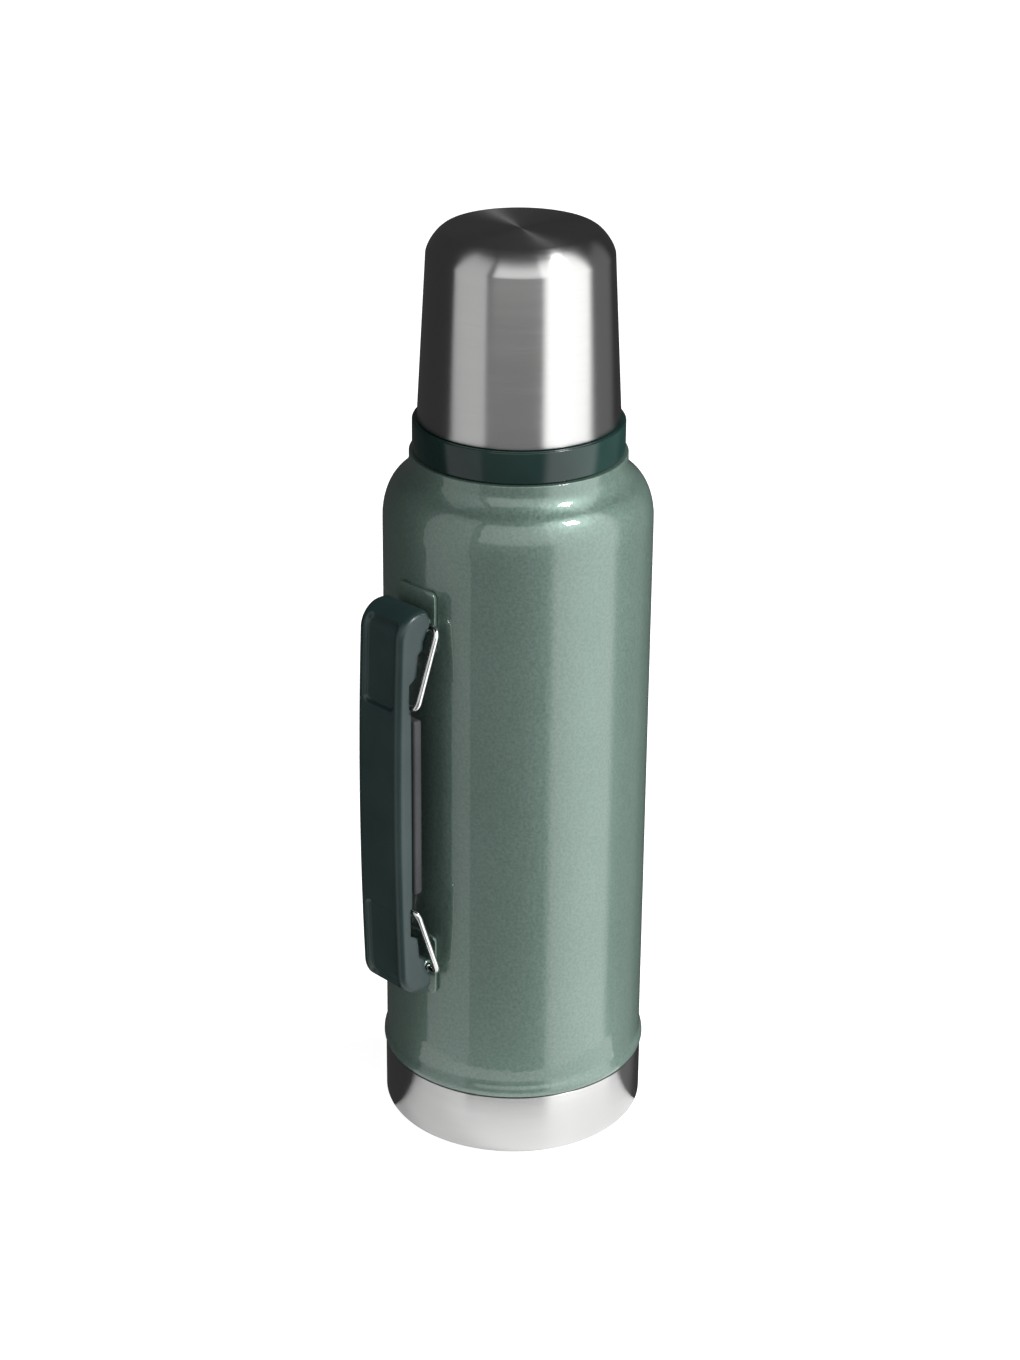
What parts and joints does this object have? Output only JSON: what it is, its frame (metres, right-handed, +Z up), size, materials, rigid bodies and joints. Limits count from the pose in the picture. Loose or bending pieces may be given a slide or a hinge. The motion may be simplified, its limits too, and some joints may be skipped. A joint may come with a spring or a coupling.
{
  "type": "vacuum flask",
  "caption": "Double-walled steel vacuum flask with screw stopper, screw-on drinking cup and a fold-away carry handle on wire bails.",
  "frame": {"origin": "centre of the flat underside of the base cap", "axes": "+Z up along the flask's axis, handle on the -X side, symmetric about the XZ plane apart from the screw threads"},
  "size_m": [0.1243, 0.105, 0.363],
  "materials": {
    "hammered_paint": "glossy grey-green hammered paint",
    "brushed_steel": "fine brushed stainless steel",
    "inner_steel": "plain drawn stainless steel",
    "getter_metal": "dull sintered metal",
    "copper_foil": "thin bright foil",
    "dark_plastic": "moulded dark green plastic",
    "green_plastic": "satin dark green plastic",
    "handle_plastic": "satin dark green plastic",
    "grey_grip": "matte dark grey moulding",
    "seal_rubber": "matte silicone rubber",
    "foam": "light rigid foam",
    "wire_steel": "bright drawn stainless wire"
  },
  "bodies": {
    "flask": {"outer_shell": "hammered_paint", "outer_bottom": "inner_steel", "base_cap": "brushed_steel", "inner_vessel": "inner_steel", "inner_bottom": "inner_steel", "radiation_shield": "copper_foil", "getter": "getter_metal", "evacuation_plug": "inner_steel", "neck_collar": "dark_plastic", "upper_bracket": "hammered_paint", "lower_bracket": "hammered_paint"},
    "handle": {"handle_shell": "handle_plastic", "handle_grip": "grey_grip", "handle_screw_upper": "wire_steel", "handle_screw_lower": "wire_steel"},
    "upper_bail": {"upper_bail": "wire_steel"},
    "lower_bail": {"lower_bail": "wire_steel"},
    "stopper_seal": {"stopper_gasket": "seal_rubber"},
    "stopper": {"stopper_body": "dark_plastic", "stopper_core": "foam", "stopper_cap": "green_plastic"},
    "cup_core": {"cup_insulation": "foam"},
    "cup": {"cup_shell": "brushed_steel", "cup_liner": "green_plastic"}
  },
  "joints": [
    {"name": "handle_pull", "type": "slide", "parent": "flask", "child": "handle", "axis": [-1, 0, 0], "range_m": [0, 0.014]},
    {"name": "upper_bail_swing", "type": "hinge", "parent": "flask", "child": "upper_bail", "pos_m": [-0.054, 0, 0.2244], "axis": [0, 1, 0], "range_deg": [0, 31.2]},
    {"name": "lower_bail_swing", "type": "hinge", "parent": "flask", "child": "lower_bail", "pos_m": [-0.054, 0, 0.0804], "axis": [0, -1, 0], "range_deg": [0, 31.2]},
    {"name": "cup_lift", "type": "slide", "parent": "flask", "child": "cup_core", "axis": [0, 0, 1], "range_m": [0, 0.12]},
    {"name": "cup_turn", "type": "hinge", "parent": "cup_core", "child": "cup", "pos_m": [0, 0, 0.3], "axis": [0, 0, 1], "range_deg": [0, 540]},
    {"name": "stopper_lift", "type": "slide", "parent": "flask", "child": "stopper_seal", "axis": [0, 0, 1], "range_m": [0, 0.0325]},
    {"name": "stopper_turn", "type": "hinge", "parent": "stopper_seal", "child": "stopper", "pos_m": [0, 0, 0.3], "axis": [0, 0, 1], "range_deg": [0, 540]}
  ],
  "couplings": [
    {"joint": "upper_bail_swing", "follows": "handle_pull", "rad_per_m": 38.646},
    {"joint": "lower_bail_swing", "follows": "handle_pull", "rad_per_m": 38.646}
  ]
}
